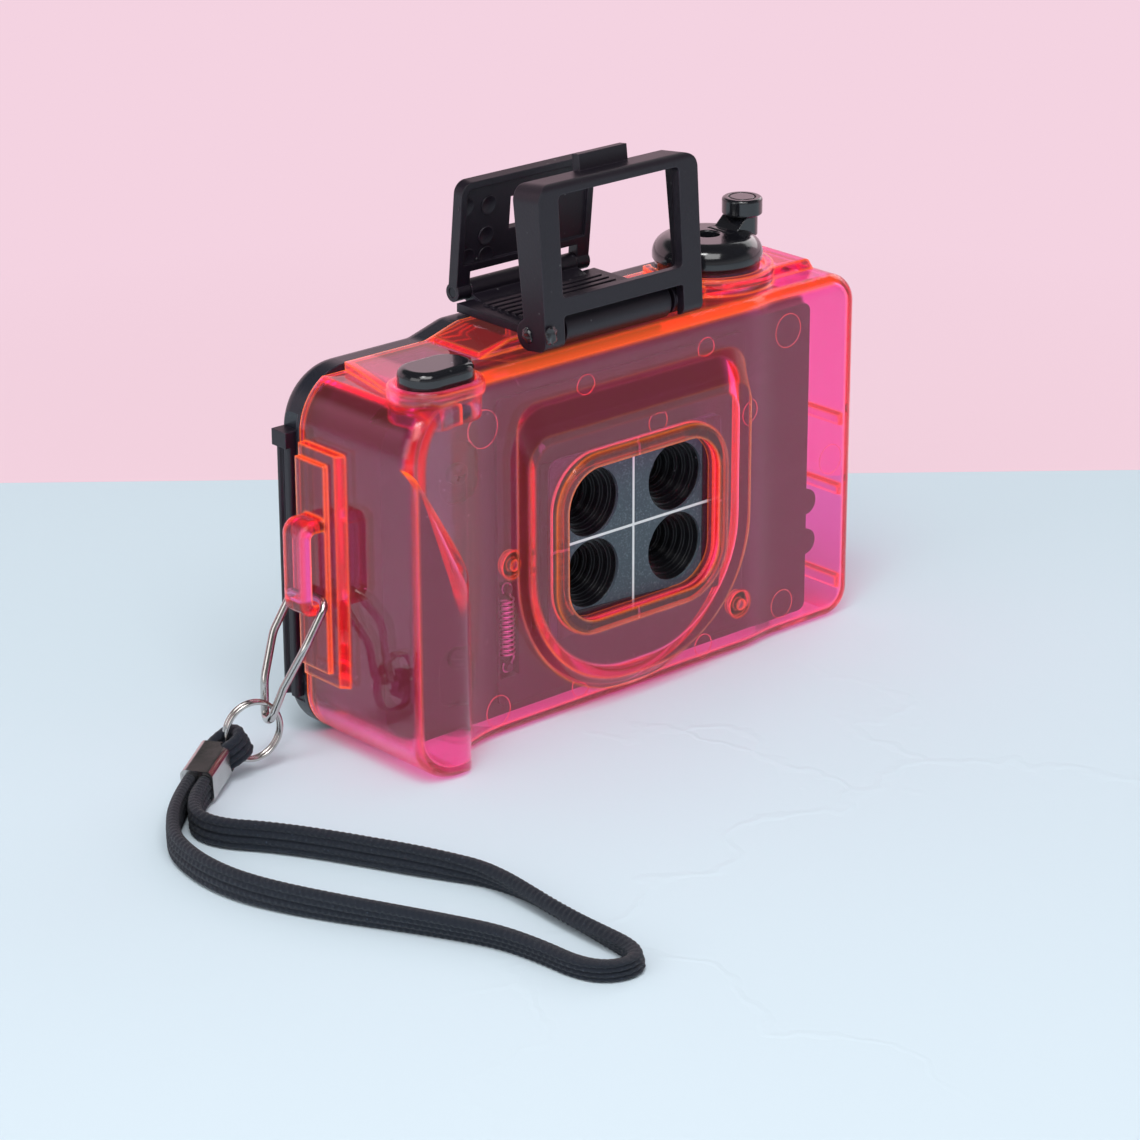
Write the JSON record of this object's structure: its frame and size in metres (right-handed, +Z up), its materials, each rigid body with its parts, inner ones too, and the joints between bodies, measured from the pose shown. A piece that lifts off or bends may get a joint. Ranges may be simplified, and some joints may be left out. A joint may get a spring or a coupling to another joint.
{
  "type": "multi-lens film camera",
  "caption": "Compact film camera in a clear tinted shell, with a grid of lenses, folding sports finder, rewind crank, hinged back and wrist strap.",
  "frame": {"origin": "centre of the footprint of the camera without its strap, on the surface it stands on", "axes": "+Z up, +X towards the rewind crank's end, the lenses look along -Y"},
  "size_m": [0.1468, 0.1082, 0.0892],
  "materials": {
    "clear_shell": "clear, glossy, tinted pink",
    "black_body": "satin moulded black",
    "black_gloss": "glossy moulded black",
    "card": "speckled dark grey card",
    "white_line": "white line",
    "lens": "clear lens",
    "steel": "bright steel wire",
    "plate": "plain steel sheet",
    "brass": "turned brass",
    "strap": "braided black cord",
    "foam": "soft black foam"
  },
  "bodies": {
    "camera": {"front_cover": "clear_shell", "inner_body": "black_body", "light_divider": "black_body", "lens_card": "card", "card_lines": "white_line", "baffle_block": "black_body", "lens_1": "lens", "lens_2": "lens", "lens_3": "lens", "lens_4": "lens", "shutter_pin": "brass", "return_spring": "steel", "finder_base": "black_body", "rear_frame_pin_1": "steel", "rear_frame_pin_2": "steel", "hinge_pin": "steel", "strap_loop": "strap", "strap_lead": "strap", "strap_crimp": "steel", "split_ring": "steel", "clip_wire": "steel"},
    "button": {"shutter_button": "black_gloss"},
    "shutter": {"shutter_disc": "plate"},
    "crank": {"crank_hub": "black_gloss", "crank_pin": "steel"},
    "crank_arm": {"crank_arm": "black_gloss"},
    "crank_knob": {"crank_knob": "black_gloss"},
    "advance": {"thumbwheel": "black_body", "advance_spindle": "steel", "take_up_spool": "black_body"},
    "sprocket": {"sprocket": "black_body"},
    "front_frame": {"front_frame": "black_body", "front_frame_pin": "steel"},
    "rear_frame": {"rear_frame": "black_body"},
    "door": {"back_door": "black_gloss", "pressure_plate": "plate", "pressure_spring": "steel", "seal_left": "foam", "seal_right": "foam"},
    "latch": {"latch_bar": "black_body"}
  },
  "joints": [
    {"name": "door_hinge", "type": "hinge", "parent": "camera", "child": "door", "pos_m": [0.05035, 0.0122, 0.03], "axis": [0, 0, -1], "range_deg": [0, 110]},
    {"name": "latch_slide", "type": "slide", "parent": "door", "child": "latch", "axis": [0, 0, 1], "range_m": [0, 0.002]},
    {"name": "button_press", "type": "slide", "parent": "camera", "child": "button", "axis": [0, 0, -1], "range_m": [0, 0.0016], "stiffness_N_per_m": 300, "springref_m": -0.001},
    {"name": "shutter_turn", "type": "hinge", "parent": "camera", "child": "shutter", "pos_m": [0.00275, -0.0012, 0.029], "axis": [0, 1, 0], "continuous": true},
    {"name": "crank_turn", "type": "hinge", "parent": "camera", "child": "crank", "pos_m": [0.03305, 0.0042, 0.065], "axis": [0, 0, 1], "continuous": true},
    {"name": "crank_arm_fold", "type": "hinge", "parent": "crank", "child": "crank_arm", "pos_m": [0.0363, 0.0042, 0.06715], "axis": [0, -1, 0], "range_deg": [0, 90]},
    {"name": "crank_knob_turn", "type": "hinge", "parent": "crank_arm", "child": "crank_knob", "pos_m": [0.04085, 0.0042, 0.07085], "axis": [0, 0, 1], "continuous": true},
    {"name": "advance_turn", "type": "hinge", "parent": "camera", "child": "advance", "pos_m": [-0.03325, 0.0058, 0.029], "axis": [0, 0, 1], "continuous": true},
    {"name": "sprocket_turn", "type": "hinge", "parent": "camera", "child": "sprocket", "pos_m": [-0.02065, 0.0074, 0.029], "axis": [0, 0, 1], "continuous": true},
    {"name": "front_frame_fold", "type": "hinge", "parent": "camera", "child": "front_frame", "pos_m": [0.00135, -0.0064, 0.0633], "axis": [-1, 0, 0], "range_deg": [0, 20]},
    {"name": "rear_frame_fold", "type": "hinge", "parent": "camera", "child": "rear_frame", "pos_m": [0.00135, 0.0147, 0.0648], "axis": [1, 0, 0], "range_deg": [0, 81]}
  ],
  "couplings": [
    {"joint": "sprocket_turn", "follows": "advance_turn", "ratio": 1.3333}
  ]
}
